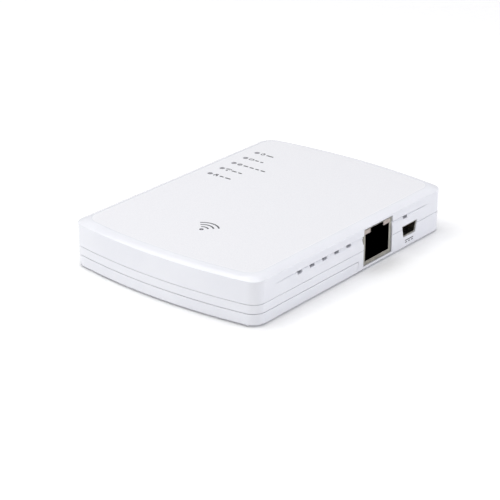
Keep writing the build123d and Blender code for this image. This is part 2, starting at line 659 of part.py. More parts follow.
with BuildPart() as dc_inlet_contacts:
    for i in range(INLET_PIN_COUNT):
        pin_y = INLET_Y + INLET_PIN_PITCH * (i - (INLET_PIN_COUNT - 1) / 2)
        pin_x = (INLET_BACK_X + INLET_BACK_THICK, TONGUE_FRONT_X - TONGUE_THICK)
        pin_z = (tongue_z[0] - INLET_PIN_THICK, tongue_z[0])
        add(block(pin_x, around(pin_y, INLET_PIN_WIDTH / 2), pin_z))
save(dc_inlet_contacts, "dc_inlet_contacts")


# Indicator lights: five rods on one bar, over five small lamps
led_top_z = BOARD_TOP_Z + LED_SIZE[2]
with BuildPart() as light_pipe_strip:
    bar_y = (LIGHT_YS[0] - PIPE_BAR_WIDTH / 2, LIGHT_YS[-1] + PIPE_BAR_WIDTH / 2)
    add(block(around(LIGHT_X, PIPE_BAR_WIDTH / 2), bar_y, PIPE_BAR_Z))
    for y in LIGHT_YS:
        add(post((LIGHT_X, y), PIPE_RADIUS, led_top_z + LED_GAP, CASE_HEIGHT))
save(light_pipe_strip, "light_pipe_strip")

with BuildPart() as indicator_leds:
    for y in LIGHT_YS:
        led_x = around(LIGHT_X, LED_SIZE[0] / 2)
        led_y = around(y, LED_SIZE[1] / 2)
        add(block(led_x, led_y, (BOARD_TOP_Z, led_top_z)))
save(indicator_leds, "indicator_leds")


def on_board(component):
    """A plain body for a component standing on the board."""
    (x, y), (size_x, size_y, size_z) = component
    zs = (BOARD_TOP_Z, BOARD_TOP_Z + size_z)
    return block(around(x, size_x / 2), around(y, size_y / 2), zs)


def side_legs(component, count):
    """Flat legs along the two sides of a chip that face +X and -X."""
    (x, y), (size_x, size_y, _) = component
    legs = []
    for i in range(count):
        leg_y = y + size_y * ((i + 0.5) / count - 0.5)
        for side in (1, -1):
            leg_x = sorted((x + side * size_x / 2, x + side * (size_x / 2 + LEG_REACH)))
            leg_z = (BOARD_TOP_Z, BOARD_TOP_Z + LEG_THICK)
            legs.append(block(leg_x, around(leg_y, LEG_WIDTH / 2), leg_z))
    return legs


def component_node(name, component, leg_count=0, edge=0.0):
    """One board component with its legs, written as its own piece."""
    with BuildPart() as chip:
        add(on_board(component))
        if edge:
            chamfer(chip.edges().group_by(Axis.Z)[-1], edge)
        if leg_count:
            add(side_legs(component, leg_count))
    save(chip, name)


# Chips and power parts on the board
CHIP_EDGE = 0.2
component_node("processor", PROCESSOR, edge=CHIP_EDGE)
component_node("memory_chip", MEMORY, edge=CHIP_EDGE)
component_node("flash_chip", FLASH, leg_count=4, edge=CHIP_EDGE)
component_node("wireless_chip", RADIO)
component_node("ethernet_transformer", TRANSFORMER, leg_count=8, edge=CHIP_EDGE)
component_node("charger_chip", CHARGER, edge=CHIP_EDGE)

with BuildPart() as wireless_shield_can:
    add(on_board(RADIO_CAN))
    chamfer(wireless_shield_can.edges().group_by(Axis.Z)[-1], CAN_SHEET)
    can_inner = (RADIO_CAN[1][0] - 2 * CAN_SHEET, RADIO_CAN[1][1] - 2 * CAN_SHEET)
    can_room = (RADIO_CAN[0], (*can_inner, RADIO_CAN[1][2] - CAN_SHEET))
    add(on_board(can_room), mode=Mode.SUBTRACT)
save(wireless_shield_can, "wireless_shield_can")

with BuildPart() as power_inductor:
    add(on_board(INDUCTOR))
    fillet(power_inductor.edges().filter_by(Axis.Z), INDUCTOR[1][0] / 5)
    chamfer(power_inductor.edges().group_by(Axis.Z)[-1], CHIP_EDGE)
save(power_inductor, "power_inductor")

with BuildPart() as crystal:
    add(on_board(CRYSTAL))
    fillet(crystal.edges().filter_by(Axis.Z), CRYSTAL[1][1] / 2 - CHIP_EDGE)
    fillet(crystal.edges().group_by(Axis.Z)[-1], CHIP_EDGE * 2)
save(crystal, "crystal")

with BuildPart() as tantalum_capacitors:
    for spot in TANTALUMS:
        add(on_board((spot, TANTALUM_SIZE)))
save(tantalum_capacitors, "tantalum_capacitors")

with BuildPart() as chip_capacitors:
    for spot in CHIP_CAP_SPOTS:
        add(on_board((spot, CHIP_CAP_SIZE)))
save(chip_capacitors, "chip_capacitors")

with BuildPart() as wifi_antennas:
    for x in ANTENNA_XS:
        blade_y = (ANTENNA_Y, ANTENNA_Y + ANTENNA_SHEET)
        blade_x = around(x, ANTENNA_LENGTH / 2)
        add(block(blade_x, blade_y, (BOARD_TOP_Z, BOARD_TOP_Z + ANTENNA_HEIGHT)))
        slot_x = (blade_x[0] + ANTENNA_FOOT, blade_x[1] - ANTENNA_FOOT)
        slot_z = (BOARD_TOP_Z - EPS, BOARD_TOP_Z + ANTENNA_HEIGHT / 2)
        add(block(slot_x, (blade_y[0] - EPS, blade_y[1] + EPS), slot_z), mode=Mode.SUBTRACT)
        foot_x = (blade_x[0], slot_x[0])
        foot_y = (ANTENNA_Y - ANTENNA_FOOT, blade_y[1])
        add(block(foot_x, foot_y, (BOARD_TOP_Z, BOARD_TOP_Z + ANTENNA_SHEET)))
save(wifi_antennas, "wifi_antennas")


# Slide switch: housing on the board, and the knob that shows through the far side
with BuildPart() as power_switch_body:
    add(block(SWITCH_X, SWITCH_Y, (BOARD_TOP_Z, SWITCH_TOP_Z)))
    channel_y = (KNOB_Y - KNOB_GAP, KNOB_Y + KNOB_WIDTH + KNOB_TRAVEL + KNOB_GAP)
    channel_z = (KNOB_Z[0] - KNOB_GAP, KNOB_Z[1] + KNOB_GAP)
    channel_x = (SWITCH_X[0] - EPS, KNOB_X[1] + KNOB_GAP)
    add(block(channel_x, channel_y, channel_z), mode=Mode.SUBTRACT)
save(power_switch_body, "power_switch_body")

with BuildPart() as power_switch_knob:
    add(block(KNOB_X, (KNOB_Y, KNOB_Y + KNOB_WIDTH), KNOB_Z))
    fillet(power_switch_knob.edges().group_by(Axis.X)[0], CHIP_EDGE)
    for i in range(KNOB_GROOVES):
        groove_y = KNOB_Y + KNOB_WIDTH * (i + 1) / (KNOB_GROOVES + 1)
        groove_x = (KNOB_X[0] - EPS, KNOB_X[0] + KNOB_GROOVE_SIZE)
        add(block(groove_x, around(groove_y, KNOB_GROOVE_SIZE / 2), KNOB_Z), mode=Mode.SUBTRACT)
save(power_switch_knob, "power_switch_knob")


# Push button: cap with flange and plunger, over its switch on the board
with BuildPart() as push_button:
    cap_y = around(BUTTON_Y, BUTTON_HALF_WIDTH)
    cap_z = around(SEAM_Z, BUTTON_HALF_HEIGHT)
    add(block(BUTTON_X, cap_y, cap_z))
    fillet(push_button.edges().filter_by(Axis.X), BUTTON_FLANGE)
    fillet(push_button.edges().group_by(Axis.X)[0], CHIP_EDGE)
    flange_y = around(BUTTON_Y, BUTTON_HALF_WIDTH + BUTTON_FLANGE)
    flange_z = around(SEAM_Z, BUTTON_HALF_HEIGHT + BUTTON_FLANGE)
    add(block(BUTTON_FLANGE_X, flange_y, flange_z))
    with BuildSketch(Plane.YZ.offset(BUTTON_FLANGE_X[1])):
        with Locations((BUTTON_Y, SEAM_Z)):
            Circle(PLUNGER_RADIUS)
    extrude(amount=PLUNGER_END_X - BUTTON_FLANGE_X[1])
save(push_button, "push_button")

with BuildPart() as push_switch_body:
    add(block(TACT_X, around(BUTTON_Y, TACT_HALF_WIDTH), (BOARD_TOP_Z, TACT_TOP_Z)))
    with BuildSketch(Plane.YZ.offset(TACT_X[0])):
        with Locations((BUTTON_Y, SEAM_Z)):
            Circle(PLUNGER_RADIUS + BUTTON_GAP)
    extrude(amount=EPS + BUTTON_GAP, mode=Mode.SUBTRACT)
save(push_switch_body, "push_switch_body")
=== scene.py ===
import json
import math

import bpy
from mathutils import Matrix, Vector


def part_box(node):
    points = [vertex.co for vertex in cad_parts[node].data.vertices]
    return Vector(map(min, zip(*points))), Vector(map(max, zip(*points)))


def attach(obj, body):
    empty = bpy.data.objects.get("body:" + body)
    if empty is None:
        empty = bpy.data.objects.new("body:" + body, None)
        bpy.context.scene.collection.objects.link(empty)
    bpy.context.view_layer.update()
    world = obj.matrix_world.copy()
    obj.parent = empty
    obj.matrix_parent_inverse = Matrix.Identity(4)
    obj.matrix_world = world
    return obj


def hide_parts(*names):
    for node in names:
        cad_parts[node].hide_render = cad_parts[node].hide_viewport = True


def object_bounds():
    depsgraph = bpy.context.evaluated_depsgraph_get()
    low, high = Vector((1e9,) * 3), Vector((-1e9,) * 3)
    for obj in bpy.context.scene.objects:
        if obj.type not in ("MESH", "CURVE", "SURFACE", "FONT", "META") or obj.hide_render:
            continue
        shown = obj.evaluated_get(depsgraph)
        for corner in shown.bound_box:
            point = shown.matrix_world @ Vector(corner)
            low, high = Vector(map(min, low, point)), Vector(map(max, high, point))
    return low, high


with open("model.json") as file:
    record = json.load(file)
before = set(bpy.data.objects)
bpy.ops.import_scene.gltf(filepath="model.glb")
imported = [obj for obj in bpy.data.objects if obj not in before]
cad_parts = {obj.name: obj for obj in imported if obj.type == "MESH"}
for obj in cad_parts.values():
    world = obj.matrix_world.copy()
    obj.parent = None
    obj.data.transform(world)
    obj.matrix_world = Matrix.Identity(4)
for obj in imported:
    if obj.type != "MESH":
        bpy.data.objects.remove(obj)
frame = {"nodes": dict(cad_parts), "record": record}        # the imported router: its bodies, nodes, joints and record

cad_low, cad_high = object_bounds()

# One millimetre in Blender's metres
MM = 0.001
# Points closer together than this count as one place
SAME_PLACE = 0.001 * MM

# The two printed faces, the top panel and the wall with the network jack and the power inlet,
# and the way each one faces
PANEL_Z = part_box("upper_cover")[1].z
PORT_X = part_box("upper_cover")[1].x
PANEL_WAY = (0, 0, 1)
PORT_WAY = (1, 0, 0)

SLOT_OF = {part["node"]: part["material_slot"] for part in frame["record"]["subparts"]}
BODY_OF = {
    node: body for body, nodes in frame["record"]["behaviour"]["bodies"].items() for node in nodes
}


# ---------------------------------------------------------------- colours and nodes

def srgb(code):
    """An sRGB hex colour as the linear colour that shaders take."""
    channels = [int(code[i:i + 2], 16) / 255 for i in (0, 2, 4)]
    linear = [c / 12.92 if c <= 0.04045 else ((c + 0.055) / 1.055) ** 2.4 for c in channels]
    return (*linear, 1.0)


def per_mm(size):
    """A texture scale that repeats once in this many millimetres of object space."""
    return 1 / (size * MM)


def add_node(tree, kind, inputs=None, stops=(), **settings):
    """Add a shader node with its settings; an input is a constant or another node's socket.
    Stops are a colour ramp's (position, hex colour) pairs."""
    made = tree.nodes.new(kind)
    for name, value in settings.items():
        setattr(made, name, value)
    if stops:
        elements = made.color_ramp.elements
        while len(elements) < len(stops):
            elements.new(0.5)
        for element, (position, code) in zip(elements, stops):
            element.position = position
            element.color = srgb(code)
    for name, value in (inputs or {}).items():
        if isinstance(value, bpy.types.NodeSocket):
            tree.links.new(value, made.inputs[name])
        else:
            made.inputs[name].default_value = value
    return made


def new_material(name):
    """An empty node material and the place of its pattern: the piece's own coordinates."""
    made = bpy.data.materials.new(name)
    made.use_nodes = True
    made.node_tree.nodes.clear()
    place = add_node(made.node_tree, "ShaderNodeTexCoord").outputs["Object"]
    return made, made.node_tree, place


# ---------------------------------------------------------------- materials

# What ABS plastic bends light by
ABS_IOR = 1.53
# The sizes in millimetres of the patterns on moulded ABS: uneven pigment, the long ripple of a
# wall, the fine wave that a polished tool leaves, and the grain of a spark-eroded tool
PIGMENT_MM = 14
RIPPLE_MM = 9
POLISH_MM = 1.2
ERODED_MM = 0.35
# Most of a noise texture's values lie between these two
NOISE_LOW, NOISE_HIGH = 0.3, 0.7


def gloss_white_abs():
    """Injection-moulded white ABS from a polished tool: a clean mirror sheen over soft white,
    with the faint long ripple that moulded walls have and barely uneven pigment."""
    made, tree, place = new_material("gloss_white_abs")
    pigment = add_node(
        tree, "ShaderNodeTexNoise", {"Vector": place, "Scale": per_mm(PIGMENT_MM), "Detail": 3.0})
    colour = add_node(
        tree, "ShaderNodeValToRGB", {"Fac": pigment.outputs["Fac"]},
        stops=[(NOISE_LOW, "E4E5EB"), (NOISE_HIGH, "E8E9EE")])
    ripple = add_node(
        tree, "ShaderNodeTexNoise", {"Vector": place, "Scale": per_mm(RIPPLE_MM), "Detail": 1.0})
    polish = add_node(
        tree, "ShaderNodeTexNoise", {"Vector": place, "Scale": per_mm(POLISH_MM), "Detail": 2.0})
    long_wave = add_node(
        tree, "ShaderNodeBump",
        {"Height": ripple.outputs["Fac"], "Strength": 0.12, "Distance": 0.08 * MM})
    fine_wave = add_node(
        tree, "ShaderNodeBump",
        {"Height": polish.outputs["Fac"], "Strength": 0.05, "Distance": 0.02 * MM,
         "Normal": long_wave.outputs["Normal"]})
    shader = add_node(
        tree, "ShaderNodeBsdfPrincipled",
        {"Base Color": colour.outputs["Color"], "Roughness": 0.12, "IOR": ABS_IOR,
         "Normal": fine_wave.outputs["Normal"]})
    add_node(tree, "ShaderNodeOutputMaterial", {"Surface": shader.outputs["BSDF"]})
    return made


def satin_white_abs():
    """The same white ABS where the tool was spark-eroded: a fine even grain that scatters the
    sheen and glints a little. The grain is drawn coarser than the real one, so that it shows."""
    made, tree, place = new_material("satin_white_abs")
    grain = add_node(
        tree, "ShaderNodeTexNoise", {"Vector": place, "Scale": per_mm(ERODED_MM), "Detail": 2.0})
    colour = add_node(
        tree, "ShaderNodeValToRGB", {"Fac": grain.outputs["Fac"]},
        stops=[(0.35, "E5E5E9"), (0.65, "EBEBEE")])
    sheen_break = add_node(
        tree, "ShaderNodeMapRange",
        {"Value": grain.outputs["Fac"], "From Min": NOISE_LOW, "From Max": NOISE_HIGH,
         "To Min": 0.34, "To Max": 0.46})
    bump = add_node(
        tree, "ShaderNodeBump",
        {"Height": grain.outputs["Fac"], "Strength": 0.2, "Distance": 0.01 * MM})
    shader = add_node(
        tree, "ShaderNodeBsdfPrincipled",
        {"Base Color": colour.outputs["Color"], "Roughness": sheen_break.outputs["Result"],
         "IOR": ABS_IOR, "Normal": bump.outputs["Normal"]})
    add_node(tree, "ShaderNodeOutputMaterial", {"Surface": shader.outputs["BSDF"]})
    return made


def plain_finish(name, dark, pale, grain_mm, smoothest, roughest, relief_mm, **constants):
    """A finish whose colour, roughness and relief all follow one grain of a real size."""
    made, tree, place = new_material(name)
    grain = add_node(
        tree, "ShaderNodeTexNoise", {"Vector": place, "Scale": per_mm(grain_mm), "Detail": 4.0})
    colour = add_node(
        tree, "ShaderNodeValToRGB", {"Fac": grain.outputs["Fac"]},
        stops=[(NOISE_LOW, dark), (NOISE_HIGH, pale)])
    rough = add_node(
        tree, "ShaderNodeMapRange",
        {"Value": grain.outputs["Fac"], "From Min": NOISE_LOW, "From Max": NOISE_HIGH,
         "To Min": smoothest, "To Max": roughest})
    bump = add_node(
        tree, "ShaderNodeBump",
        {"Height": grain.outputs["Fac"], "Strength": 0.3, "Distance": relief_mm * MM})
    shader = add_node(
        tree, "ShaderNodeBsdfPrincipled",
        {"Base Color": colour.outputs["Color"], "Roughness": rough.outputs["Result"],
         "Normal": bump.outputs["Normal"], **constants})
    add_node(tree, "ShaderNodeOutputMaterial", {"Surface": shader.outputs["BSDF"]})
    return made


GLOSS_WHITE = gloss_white_abs()
SATIN_WHITE = satin_white_abs()
# Black glass-filled nylon, moulded: dull, with a slight fibre mottle
BLACK_NYLON = plain_finish(
    "black_nylon", "0B0B0C", "141416",
    grain_mm=0.6, smoothest=0.38, roughest=0.52, relief_mm=0.01, IOR=1.53)
# Bright tin on formed steel sheet: pale warm metal with rolling haze
TINNED_STEEL = plain_finish(
    "tinned_steel", "8F8D84", "ABA99F",
    grain_mm=0.9, smoothest=0.26, roughest=0.4, relief_mm=0.004, Metallic=1.0)
# Zinc-plated screw steel: brighter and a little blue
ZINC_STEEL = plain_finish(
    "zinc_steel", "B5B8BC", "CDD0D3",
    grain_mm=0.5, smoothest=0.24, roughest=0.36, relief_mm=0.004, Metallic=1.0)
# Thin gold over nickel on sprung bronze: warm, smooth and bright
GOLD_FLASH = plain_finish(
    "gold_flash", "D9AE52", "E8C36C",
    grain_mm=0.4, smoothest=0.16, roughest=0.26, relief_mm=0.002, Metallic=1.0)
# Smoked acrylic windows over unlit lamps: grey and slightly cloudy under a polished face
SMOKED_ACRYLIC = plain_finish(
    "smoked_acrylic", "86868A", "96969A",
    grain_mm=0.8, smoothest=0.2, roughest=0.3, relief_mm=0.002, IOR=1.49)
# Tinted epoxy lamp bodies: pinkish grey, softly clouded
LAMP_EPOXY = plain_finish(
    "lamp_epoxy", "A3978F", "B9ADA5",
    grain_mm=0.7, smoothest=0.28, roughest=0.4, relief_mm=0.004, IOR=1.55)
# Pad-printed ink: dark grey, thin and slightly broken at this scale
PRINT_INK = plain_finish(
    "print_ink", "45464B", "54555A",
    grain_mm=0.25, smoothest=0.45, roughest=0.6, relief_mm=0.001, IOR=1.5)
# Yellowish phosphor in a white lamp package
LED_RESIN = plain_finish(
    "led_resin", "E2DCA8", "EFEBC4",
    grain_mm=0.3, smoothest=0.3, roughest=0.45, relief_mm=0.002, IOR=1.55)
# Green solder mask over glass cloth: satin, faintly uneven over the weave
SOLDER_MASK = plain_finish(
    "solder_mask", "0F4A28", "15603A",
    grain_mm=0.5, smoothest=0.3, roughest=0.42, relief_mm=0.006, IOR=1.55)
# Transfer-moulded epoxy chip packages: near black, fine matt texture
CHIP_EPOXY = plain_finish(
    "chip_epoxy", "161617", "222224",
    grain_mm=0.12, smoothest=0.55, roughest=0.7, relief_mm=0.004, IOR=1.55)
# Pressed ferrite: dark grey and dry
FERRITE = plain_finish(
    "ferrite", "2E2E30", "3B3B3D",
    grain_mm=0.2, smoothest=0.6, roughest=0.75, relief_mm=0.006, IOR=1.6)
# Ochre moulded capacitor resin: warm and dull
TANTALUM = plain_finish(
    "tantalum_resin", "B0752B", "C1863A",
    grain_mm=0.3, smoothest=0.4, roughest=0.5, relief_mm=0.003, IOR=1.55)
# Fired ceramic capacitor bodies: tan and slightly rough
CERAMIC = plain_finish(
    "fired_ceramic", "A68A63", "B89B74",
    grain_mm=0.15, smoothest=0.4, roughest=0.55, relief_mm=0.002, IOR=1.6)
# Printed polyester wrap round the lithium cell: dark grey, soft sheen, faint creases
CELL_WRAP = plain_finish(
    "cell_wrap", "2B2C2F", "35363A",
    grain_mm=6.0, smoothest=0.34, roughest=0.46, relief_mm=0.05, IOR=1.5)

FINISH_OF_SLOT = {
    "case_plastic": GLOSS_WHITE, "clear_plastic": SMOKED_ACRYLIC, "lamp_plastic": LAMP_EPOXY,
    "led_plastic": LED_RESIN, "black_plastic": BLACK_NYLON, "plated_steel": TINNED_STEEL,
    "gold_plate": GOLD_FLASH, "board_laminate": SOLDER_MASK, "chip_resin": CHIP_EPOXY,
    "ferrite": FERRITE, "tantalum_resin": TANTALUM, "ceramic": CERAMIC, "battery_wrap": CELL_WRAP,
}
for node_name, cad_object in frame["nodes"].items():
    cad_object.data.materials.clear()
    cad_object.data.materials.append(FINISH_OF_SLOT[SLOT_OF[node_name]])


# ---------------------------------------------------------------- modelling helpers

# A printed face is set back by the ink's room, so that its ink stays inside the case's box, and
# the ink's top stays this far under the face's old level
INK_ROOM = 0.02 * MM
INK_TOP = 0.004 * MM
# Facets that turn less than this are one flat face, and edges that turn more than this are sharp
FLAT_TURN = math.radians(0.4)
SHARP_TURN = math.radians(32)
# Faces across a rounded edge, and how strongly its shading leans on the large faces beside it
EDGE_FACES = 3
FACE_WEIGHT = 80


def deselect_all():
    bpy.ops.object.select_all(action="DESELECT")


def activate(piece):
    """Make this the one selected, active object."""
    deselect_all()
    piece.select_set(True)
    bpy.context.view_layer.objects.active = piece


def apply_modifier(piece, kind, **settings):
    """Add a modifier with its settings and apply it."""
    activate(piece)
    modifier = piece.modifiers.new(kind.lower(), kind)
    for name, value in settings.items():
        setattr(modifier, name, value)
    bpy.ops.object.modifier_apply(modifier=modifier.name)


def set_back(piece, axis, level):
    """Move the flat face at this level in by the ink's room."""
    activate(piece)
    bpy.ops.object.mode_set(mode="EDIT")
    bpy.ops.mesh.select_mode(type="VERT")
    bpy.ops.mesh.select_all(action="DESELECT")
    bpy.ops.object.mode_set(mode="OBJECT")
    for vertex in piece.data.vertices:
        vertex.select = abs(vertex.co[axis] - level) < SAME_PLACE
    bpy.ops.object.mode_set(mode="EDIT")
    step = [0.0, 0.0, 0.0]
    step[axis] = -INK_ROOM
    bpy.ops.transform.translate(value=step)
    bpy.ops.object.mode_set(mode="OBJECT")


def rounded_copy(node, name, edge_mm, inked_face=None):
    """A welded copy of a CAD piece with its sharp edges rounded by a real moulding radius.
    An inked face, given as its axis and level, is first set back by the ink's room."""
    source = frame["nodes"][node]
    piece = bpy.data.objects.new(name, source.data.copy())
    bpy.context.scene.collection.objects.link(piece)
    activate(piece)
    bpy.ops.object.mode_set(mode="EDIT")
    bpy.ops.mesh.select_all(action="SELECT")
    bpy.ops.mesh.remove_doubles(threshold=SAME_PLACE)
    bpy.ops.mesh.dissolve_limited(angle_limit=FLAT_TURN)
    bpy.ops.object.mode_set(mode="OBJECT")
    if inked_face:
        set_back(piece, *inked_face)
    apply_modifier(
        piece, "BEVEL", width=edge_mm * MM, segments=EDGE_FACES, limit_method="ANGLE",
        angle_limit=SHARP_TURN, use_clamp_overlap=False, miter_outer="MITER_ARC")
    # A bevel can reach past a face where three edges meet, so the copy is kept to the node's box
    low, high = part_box(node)
    for vertex in piece.data.vertices:
        for axis in range(3):
            vertex.co[axis] = min(max(vertex.co[axis], low[axis]), high[axis])
    activate(piece)
    bpy.ops.object.shade_smooth_by_angle(angle=SHARP_TURN)
    apply_modifier(piece, "WEIGHTED_NORMAL", keep_sharp=True, weight=FACE_WEIGHT)
    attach(piece, BODY_OF[node])
    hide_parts(node)
    return piece


# ---------------------------------------------------------------- case shells

# The cover is polished but for its top panel, the faces that point straight up at its level,
# which has the eroded grain as the cover's second finish
GRAINED = 1
POINTS_UP = 0.99

cover = rounded_copy("upper_cover", "cover_shell", 0.12, inked_face=(2, PANEL_Z))
cover.data.materials.append(SATIN_WHITE)
for face in cover.data.polygons:
    if face.center.z > PANEL_Z - 2 * INK_ROOM and face.normal.z > POINTS_UP:
        face.material_index = GRAINED
rounded_copy("lower_case", "lower_shell", 0.1, inked_face=(0, PORT_X))
rounded_copy("battery_door", "door_tray", 0.1)


# ---------------------------------------------------------------- ports, lights and controls

rounded_copy("ethernet_jack_shield", "jack_shield_sheet", 0.08)
rounded_copy("ethernet_jack_housing", "jack_housing_block", 0.08)
rounded_copy("jack_lamp_windows", "jack_lamp_blocks", 0.1)
rounded_copy("dc_inlet_shell", "inlet_shell_sheet", 0.07)
rounded_copy("dc_inlet_insulator", "inlet_insulator_block", 0.07)
rounded_copy("light_pipe_strip", "light_pipe_rods", 0.12)
rounded_copy("push_button", "push_button_cap", 0.22)
rounded_copy("power_switch_knob", "switch_knob_slider", 0.07)
screws = rounded_copy("case_screws", "case_screw_heads", 0.12)
screws.data.materials.clear()
screws.data.materials.append(ZINC_STEEL)


# ---------------------------------------------------------------- printed marks

INK_DEPTH = INK_ROOM - INK_TOP
PRINT_Z = PANEL_Z - INK_ROOM
PRINT_X = PORT_X - INK_ROOM
# A printed line's width, a dash's height, and the size of the small picture beside a light
LINE = 0.3 * MM
DASH = 0.62 * MM
PICTURE = 1.7 * MM
RING_SIDES = 48
CORNER_FACES = 4
# How much of a bar's narrower side each rounded corner takes
CORNER_SHARE = 0.45

# The lights stand in a row along y, and their marks begin at one x
LIGHT_COUNT = 5
LIGHT_WIDTH = 0.8 * MM
light_low, light_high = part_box("indicator_leds")
FIRST_LIGHT_Y = light_low.y + LIGHT_WIDTH / 2
LIGHT_STEP = (light_high.y - light_low.y - LIGHT_WIDTH) / (LIGHT_COUNT - 1)
MARK_X = -25.6 * MM


def flat_ring(centre, radius, width, sides=RING_SIDES):
    """A flat ring of ink round a centre."""
    deselect_all()
    bpy.ops.mesh.primitive_circle_add(
        vertices=sides, radius=radius, fill_type="NGON", location=centre)
    bpy.ops.object.mode_set(mode="EDIT")
    bpy.ops.mesh.select_all(action="SELECT")
    bpy.ops.mesh.inset(thickness=width, depth=0)
    bpy.ops.mesh.delete(type="FACE")
    bpy.ops.object.mode_set(mode="OBJECT")
    return bpy.context.active_object


def flat_bar(centre, length, height):
    """A flat bar of ink with rounded corners."""
    deselect_all()
    bpy.ops.mesh.primitive_plane_add(size=1.0, location=centre)
    bpy.ops.transform.resize(value=(length, height, 1), orient_type="LOCAL")
    bpy.ops.object.transform_apply(location=False, rotation=False, scale=True)
    bpy.ops.object.mode_set(mode="EDIT")
    bpy.ops.mesh.select_all(action="SELECT")
    bpy.ops.mesh.bevel(
        offset=CORNER_SHARE * min(length, height), segments=CORNER_FACES, affect="VERTICES")
    bpy.ops.object.mode_set(mode="OBJECT")
    return bpy.context.active_object


def keep_side(piece, point, outward):
    """Cut away what lies beyond a point in a direction."""
    activate(piece)
    bpy.ops.object.mode_set(mode="EDIT")
    bpy.ops.mesh.select_all(action="SELECT")
    bpy.ops.mesh.bisect(plane_co=point, plane_no=outward, clear_outer=True)
    bpy.ops.object.mode_set(mode="OBJECT")


def print_ink(name, strokes, lift):
    """Join flat strokes into one thin printed mark, with its place in its mesh, and thicken it
    along lift."""
    deselect_all()
    for stroke in strokes:
        stroke.select_set(True)
    bpy.context.view_layer.objects.active = strokes[0]
    bpy.ops.object.join()
    mark = bpy.context.active_object
    mark.name = name
    activate(mark)
    bpy.ops.object.transform_apply(location=True, rotation=True, scale=True)
    bpy.ops.object.mode_set(mode="EDIT")
    bpy.ops.mesh.select_all(action="SELECT")
    bpy.ops.mesh.extrude_region_move(
        TRANSFORM_OT_translate={"value": [INK_DEPTH * part for part in lift]})
    bpy.ops.mesh.select_all(action="SELECT")
    bpy.ops.mesh.normals_make_consistent(inside=False)
    bpy.ops.object.mode_set(mode="OBJECT")
    mark.data.materials.clear()
    mark.data.materials.append(PRINT_INK)
    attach(mark, BODY_OF["upper_cover"])


def fan(centre, radii, width):
    """Quarter rings over a small thick ring: the common sign for radio waves, open to +Y."""
    strokes = [flat_ring(centre, 1.3 * width, 0.9 * width, sides=RING_SIDES // 2)]
    for radius in radii:
        arc = flat_ring(centre, radius, width)
        for side in (1, -1):
            keep_side(arc, centre, (side, -1, 0))
        strokes.append(arc)
    return strokes


def box_frame(centre, width, height):
    """A hollow rectangle of four bars."""
    x, y, z = centre
    return [
        flat_bar((x, y + height / 2, z), width, LINE),
        flat_bar((x, y - height / 2, z), width, LINE),
        flat_bar((x - width / 2, y, z), LINE, height),
        flat_bar((x + width / 2, y, z), LINE, height),
    ]


def power_picture(x, y):
    """A ring with a stroke across its +Y side."""
    return [
        flat_ring((x, y, PRINT_Z), 0.45 * PICTURE, LINE),
        flat_bar((x, y + 0.35 * PICTURE, PRINT_Z), LINE, 0.6 * PICTURE),
    ]


def battery_picture(x, y):
    """A box with a small cap."""
    strokes = box_frame((x, y, PRINT_Z), 0.9 * PICTURE, 0.55 * PICTURE)
    return strokes + [flat_bar((x + 0.58 * PICTURE, y, PRINT_Z), LINE, 0.3 * PICTURE)]


def outside_network_picture(x, y):
    """A ring with a bar across."""
    return [
        flat_ring((x, y, PRINT_Z), 0.48 * PICTURE, LINE),
        flat_bar((x, y, PRINT_Z), 0.9 * PICTURE, LINE),
    ]


def radio_picture(x, y):
    """The fan of waves."""
    return fan((x, y - 0.4 * PICTURE, PRINT_Z), (0.62 * PICTURE, 0.98 * PICTURE), LINE)


def wired_network_picture(x, y):
    """A frame over two squares, with a line between."""
    strokes = box_frame((x, y + 0.3 * PICTURE, PRINT_Z), 0.4 * PICTURE, 0.3 * PICTURE)
    for side in (-1, 1):
        strokes.append(flat_bar(
            (x + side * 0.32 * PICTURE, y - 0.3 * PICTURE, PRINT_Z),
            0.34 * PICTURE, 0.34 * PICTURE))
    return strokes + [flat_bar((x, y, PRINT_Z), 0.9 * PICTURE, LINE)]


# Each light's picture and the lengths in millimetres of the dashes after it, from the highest y
LIGHT_MARKS = (
    (power_picture, (2.8,)),
    (battery_picture, (1.5, 1.2)),
    (outside_network_picture, (1.9, 1.7, 1.5, 1.8)),
    (radio_picture, (2.0, 1.5)),
    (wired_network_picture, (1.6, 2.2)),
)


def light_signs():
    """A picture beside each light, and plain dashes in place of a word."""
    strokes = []
    for row, (picture, dash_lengths) in enumerate(LIGHT_MARKS):
        y = FIRST_LIGHT_Y + LIGHT_STEP * (LIGHT_COUNT - 1 - row)
        strokes += picture(MARK_X + PICTURE / 2, y)
        x = MARK_X + PICTURE + DASH
        for length in dash_lengths:
            strokes.append(flat_bar((x + length * MM / 2, y, PRINT_Z), length * MM, DASH))
            x += length * MM + DASH
    return strokes


# The direct current sign: its length, the heights of its line and its dashes, and the dashes'
# length and spacing as shares of its own
CURRENT_LENGTH = 4.4 * MM
CURRENT_LINE_Z = 2.75 * MM
CURRENT_DASH_Z = 2.1 * MM
CURRENT_DASH = 0.24 * CURRENT_LENGTH
CURRENT_STEP = 0.37 * CURRENT_LENGTH


def current_sign():
    """The common sign for direct current, a line over three dashes, under the power inlet."""
    inlet_low, inlet_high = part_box("dc_inlet_shell")
    middle_y = (inlet_low.y + inlet_high.y) / 2
    strokes = [flat_bar((PRINT_X, middle_y, CURRENT_LINE_Z), CURRENT_LENGTH, LINE)]
    for i in (-1, 0, 1):
        place = (PRINT_X, middle_y + i * CURRENT_STEP, CURRENT_DASH_Z)
        strokes.append(flat_bar(place, CURRENT_DASH, LINE))
    # The bars are made lying flat, and are stood up against the port wall
    for stroke in strokes:
        activate(stroke)
        stroke.rotation_euler = (math.radians(90), 0, math.radians(90))
        bpy.ops.object.transform_apply(location=False, rotation=True, scale=True)
    return strokes


